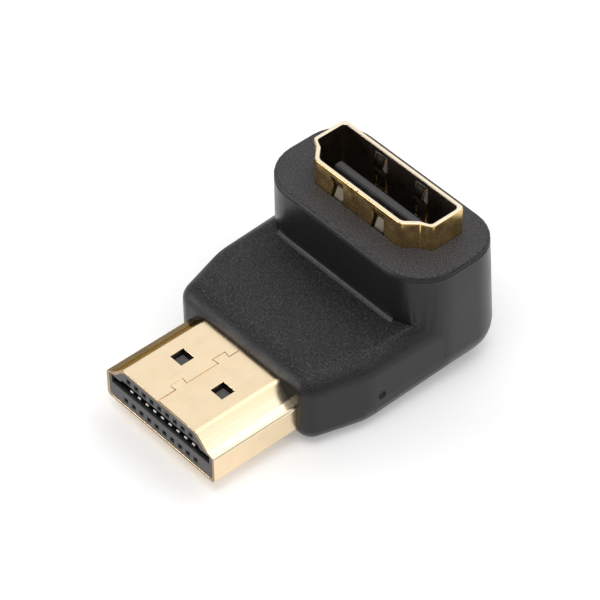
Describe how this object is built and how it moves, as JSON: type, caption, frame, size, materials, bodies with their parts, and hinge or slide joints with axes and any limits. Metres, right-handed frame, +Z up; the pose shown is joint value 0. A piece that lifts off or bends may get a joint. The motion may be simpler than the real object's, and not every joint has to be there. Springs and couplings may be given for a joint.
{
  "type": "hdmi adapter",
  "caption": "Right-angle video adapter: a flat gold plug leaves the low arm of a black L-shaped housing, and a matching socket stands up from its tall arm.",
  "frame": {"origin": "middle of the underside of the whole adapter, plug included, where it rests on a table", "axes": "+X across the width, -Y the way the plug points, +Z up, the way the socket opens"},
  "size_m": [0.0206, 0.03, 0.0156],
  "materials": {
    "housing_plastic": "fine grained satin",
    "inner_plastic": "plain",
    "board": "lacquered",
    "gold_plate": "polished gold plating",
    "grey_plastic": "plain",
    "black_plastic": "plain",
    "contact_gold": "polished gold plating"
  },
  "bodies": {
    "root": {"housing": "housing_plastic", "inner_mould": "inner_plastic", "circuit_board": "board", "plug_shell": "gold_plate", "plug_insulator": "grey_plastic", "plug_wide_contact_1": "contact_gold", "plug_wide_contact_2": "contact_gold", "plug_wide_contact_3": "contact_gold", "plug_wide_contact_4": "contact_gold", "plug_wide_contact_5": "contact_gold", "plug_wide_contact_6": "contact_gold", "plug_wide_contact_7": "contact_gold", "plug_wide_contact_8": "contact_gold", "plug_wide_contact_9": "contact_gold", "plug_wide_contact_10": "contact_gold", "plug_narrow_contact_1": "contact_gold", "plug_narrow_contact_2": "contact_gold", "plug_narrow_contact_3": "contact_gold", "plug_narrow_contact_4": "contact_gold", "plug_narrow_contact_5": "contact_gold", "plug_narrow_contact_6": "contact_gold", "plug_narrow_contact_7": "contact_gold", "plug_narrow_contact_8": "contact_gold", "plug_narrow_contact_9": "contact_gold", "socket_shell": "gold_plate", "socket_insulator": "black_plastic", "socket_wide_contact_1": "contact_gold", "socket_wide_contact_2": "contact_gold", "socket_wide_contact_3": "contact_gold", "socket_wide_contact_4": "contact_gold", "socket_wide_contact_5": "contact_gold", "socket_wide_contact_6": "contact_gold", "socket_wide_contact_7": "contact_gold", "socket_wide_contact_8": "contact_gold", "socket_wide_contact_9": "contact_gold", "socket_wide_contact_10": "contact_gold", "socket_narrow_contact_1": "contact_gold", "socket_narrow_contact_2": "contact_gold", "socket_narrow_contact_3": "contact_gold", "socket_narrow_contact_4": "contact_gold", "socket_narrow_contact_5": "contact_gold", "socket_narrow_contact_6": "contact_gold", "socket_narrow_contact_7": "contact_gold", "socket_narrow_contact_8": "contact_gold", "socket_narrow_contact_9": "contact_gold"}
  },
  "joints": []
}
